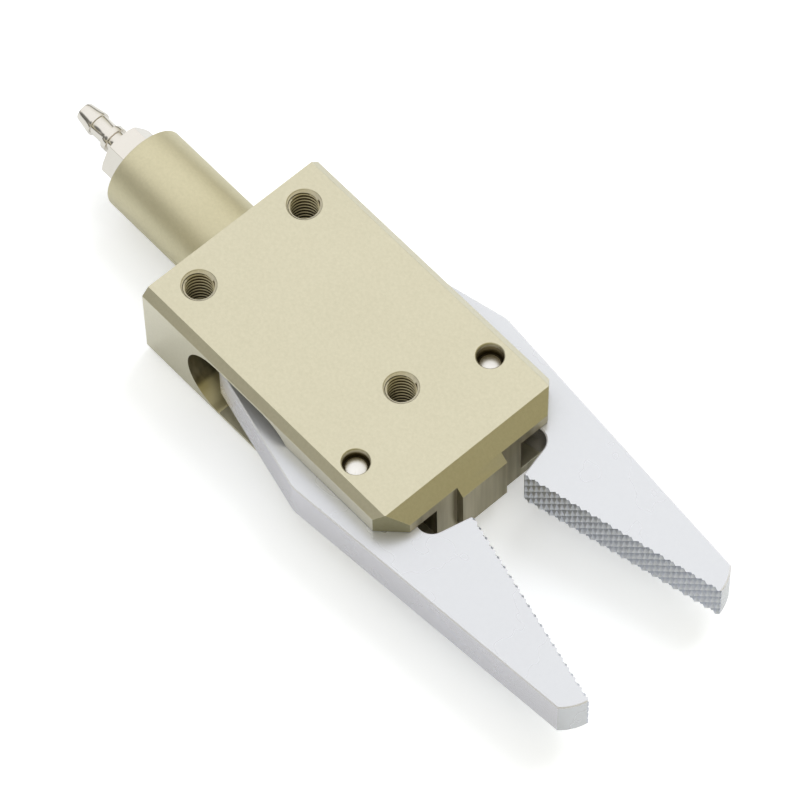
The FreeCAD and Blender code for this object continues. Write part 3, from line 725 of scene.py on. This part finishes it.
# Painted shade and reflection: the dark brown of the bore wall on the pins' chamfers.
pin_chamfer_shade_steel = blasted_metal("pin_chamfer_shade_steel", (0.26, 0.22, 0.14, 1), (0.18, 0.15, 0.09, 1),
                               grain_size=0.15 * mm, sheen=(0.40, 0.50), bump=0.1, metallic=0.8)
for pin_name, nicked in (("pivot_pin_left", False), ("pivot_pin_right", True)):
    low, high = (Vector(corner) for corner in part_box(pin_name))
    centre = (low + high) / 2
    radius = (high.y - low.y) / 2
    half_length = (high.z - low.z) / 2
    crown_edge = radius - pin_chamfer - pin_rim_round
    upper = []
    for i in range(crown_rings + 1):
        r = crown_edge * i / crown_rings
        upper.append((r, half_length - pin_crown_radius + math.sqrt(pin_crown_radius ** 2 - r ** 2)))
    rim = upper[-1][1]
    upper.append((crown_edge + pin_rim_round, rim - pin_rim_round / 2))
    upper.append((radius - pin_rim_round, rim - pin_chamfer))
    upper.append((radius, rim - pin_chamfer - pin_rim_round))
    profile = upper + [(r, -z) for r, z in reversed(upper)]
    bm = bmesh.new()
    points = [bm.verts.new((centre.x + r, centre.y, centre.z + z)) for r, z in profile]
    line = [bm.edges.new(pair) for pair in zip(points, points[1:])]
    bmesh.ops.spin(bm, geom=points + line, cent=centre, axis=(0, 0, 1), dvec=(0, 0, 0),
                   angle=2 * math.pi, steps=pin_sides, use_merge=True)
    bmesh.ops.remove_doubles(bm, verts=bm.verts[:], dist=merge_distance)
    bmesh.ops.recalc_face_normals(bm, faces=bm.faces[:])
    for vert in bm.verts:
        from_nick = (vert.co.xy - centre.xy - pin_nick).length
        if nicked and vert.co.z > centre.z and from_nick < pin_nick_radius:
            vert.co.z -= pin_nick_depth * (1 - from_nick / pin_nick_radius)
    smooth_up_to(bm, pin_crease)
    for face in bm.faces:
        from_axis = (face.calc_center_median().xy - centre.xy).length
        face.material_index = int(from_axis > crown_edge)
    pin = make_piece(pin_name + "_crowned", bm, pin_steel, pin_chamfer_shade_steel)
    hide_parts(pin_name)
    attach(pin, "housing")

# Bushes and rod guide. They are plain sleeves of sintered bronze: two are pressed into the
# jaws and turn on the pins, and one is pressed into the cylinder's mouth and guides the rod.
bronze = blasted_metal("sintered_bronze", (0.60, 0.44, 0.26, 1), (0.48, 0.34, 0.19, 1),
                       grain_size=0.12 * mm, sheen=(0.35, 0.45), bump=0.3, metallic=1.0)
for node in ("pivot_bush_left", "pivot_bush_right", "rod_guide"):
    dress(node, bronze)

# Wedge and its pin. The wedge is hardened steel, blacked, and drives the tails of the jaws
# apart. A ground steel pin fixes it to the rod.
blacked_steel = blasted_metal("blacked_steel", (0.16, 0.16, 0.17, 1), (0.10, 0.10, 0.11, 1),
                              grain_size=0.2 * mm, sheen=(0.30, 0.40), bump=0.15, metallic=0.9)
ground_steel = blasted_metal("ground_steel", (0.80, 0.80, 0.80, 1), (0.74, 0.74, 0.74, 1),
                             grain_size=0.25 * mm, sheen=(0.12, 0.18), bump=0.05, metallic=1.0)
dress("wedge", blacked_steel)
dress("wedge_pin", ground_steel)

# Piston, its rod and what is on them. The piston is turned aluminium on a ground steel rod, with
# a rubber ring round it and a zinc-plated nut in its rear. A rubber bumper stops it at the rear,
# and its spring bears on a zinc-plated seat.
piston_metal = blasted_metal("turned_aluminium", (0.78, 0.78, 0.79, 1), (0.72, 0.72, 0.73, 1),
                             grain_size=0.2 * mm, sheen=(0.25, 0.32), bump=0.1, metallic=1.0)
zinc = blasted_metal("zinc_plate", (0.66, 0.67, 0.70, 1), (0.58, 0.59, 0.62, 1),
                     grain_size=0.2 * mm, sheen=(0.25, 0.35), bump=0.15, metallic=1.0)
rubber = blasted_metal("black_rubber", (0.035, 0.035, 0.035, 1), (0.022, 0.022, 0.022, 1),
                       grain_size=0.15 * mm, sheen=(0.55, 0.65), bump=0.3, metallic=0.0)
for node, material in (("piston", piston_metal), ("piston_rod", ground_steel), ("piston_nut", zinc),
                       ("spring_seat", zinc), ("piston_seal", rubber), ("end_bumper", rubber)):
    dress(node, material)

# Springs. Both are wound from bright steel wire: one returns the piston, and one lies across
# the block's core and pushes the jaws apart.
wire_radius = 0.35 * mm
wire_sides = 12
coil_steps = 36
quarter_turn = math.radians(90)
spring_steel = blasted_metal("spring_steel", (0.60, 0.60, 0.62, 1), (0.50, 0.50, 0.52, 1),
                             grain_size=0.2 * mm, sheen=(0.22, 0.30), bump=0.1, metallic=1.0)


def wind_spring(node, along, mean_radius, turns):
    """Smooth coil in the place of a CAD spring, along X (0) or Y (1)."""
    low, high = (Vector(corner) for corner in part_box(node))
    rise = high[along] - low[along] - 2 * wire_radius
    bm = bmesh.new()
    ring = bmesh.ops.create_circle(bm, segments=wire_sides, radius=wire_radius,
                                   matrix=Matrix.Translation((mean_radius, 0, 0))
                                   @ Matrix.Rotation(quarter_turn, 4, "X"))["verts"]
    loop = list({edge for vert in ring for edge in vert.link_edges})
    bmesh.ops.spin(bm, geom=ring + loop, cent=(0, 0, 0), axis=(0, 0, 1),
                   dvec=(0, 0, rise / (turns * coil_steps)), angle=2 * math.pi * turns,
                   steps=turns * coil_steps)
    bmesh.ops.holes_fill(bm, edges=[edge for edge in bm.edges if edge.is_boundary], sides=wire_sides)
    bmesh.ops.translate(bm, verts=bm.verts[:], vec=(0, 0, -rise / 2))
    turn = Matrix.Rotation(quarter_turn, 4, "Y" if along == 0 else "X")
    middle = Matrix.Translation(((low.x + high.x) / 2, 0, 0))
    bmesh.ops.transform(bm, matrix=middle @ turn, verts=bm.verts[:])
    bmesh.ops.recalc_face_normals(bm, faces=bm.faces[:])
    for face in bm.faces:
        face.smooth = len(face.verts) == 4
    coil = make_piece(node + "_coil", bm, spring_steel)
    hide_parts(node)
    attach(coil, "housing")
    return coil


return_coil = wind_spring("return_spring", along=0, mean_radius=3.4 * mm, turns=6)
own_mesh(return_coil)
opening_coil = wind_spring("opening_spring", along=1, mean_radius=2.1 * mm, turns=8)
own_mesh(opening_coil)
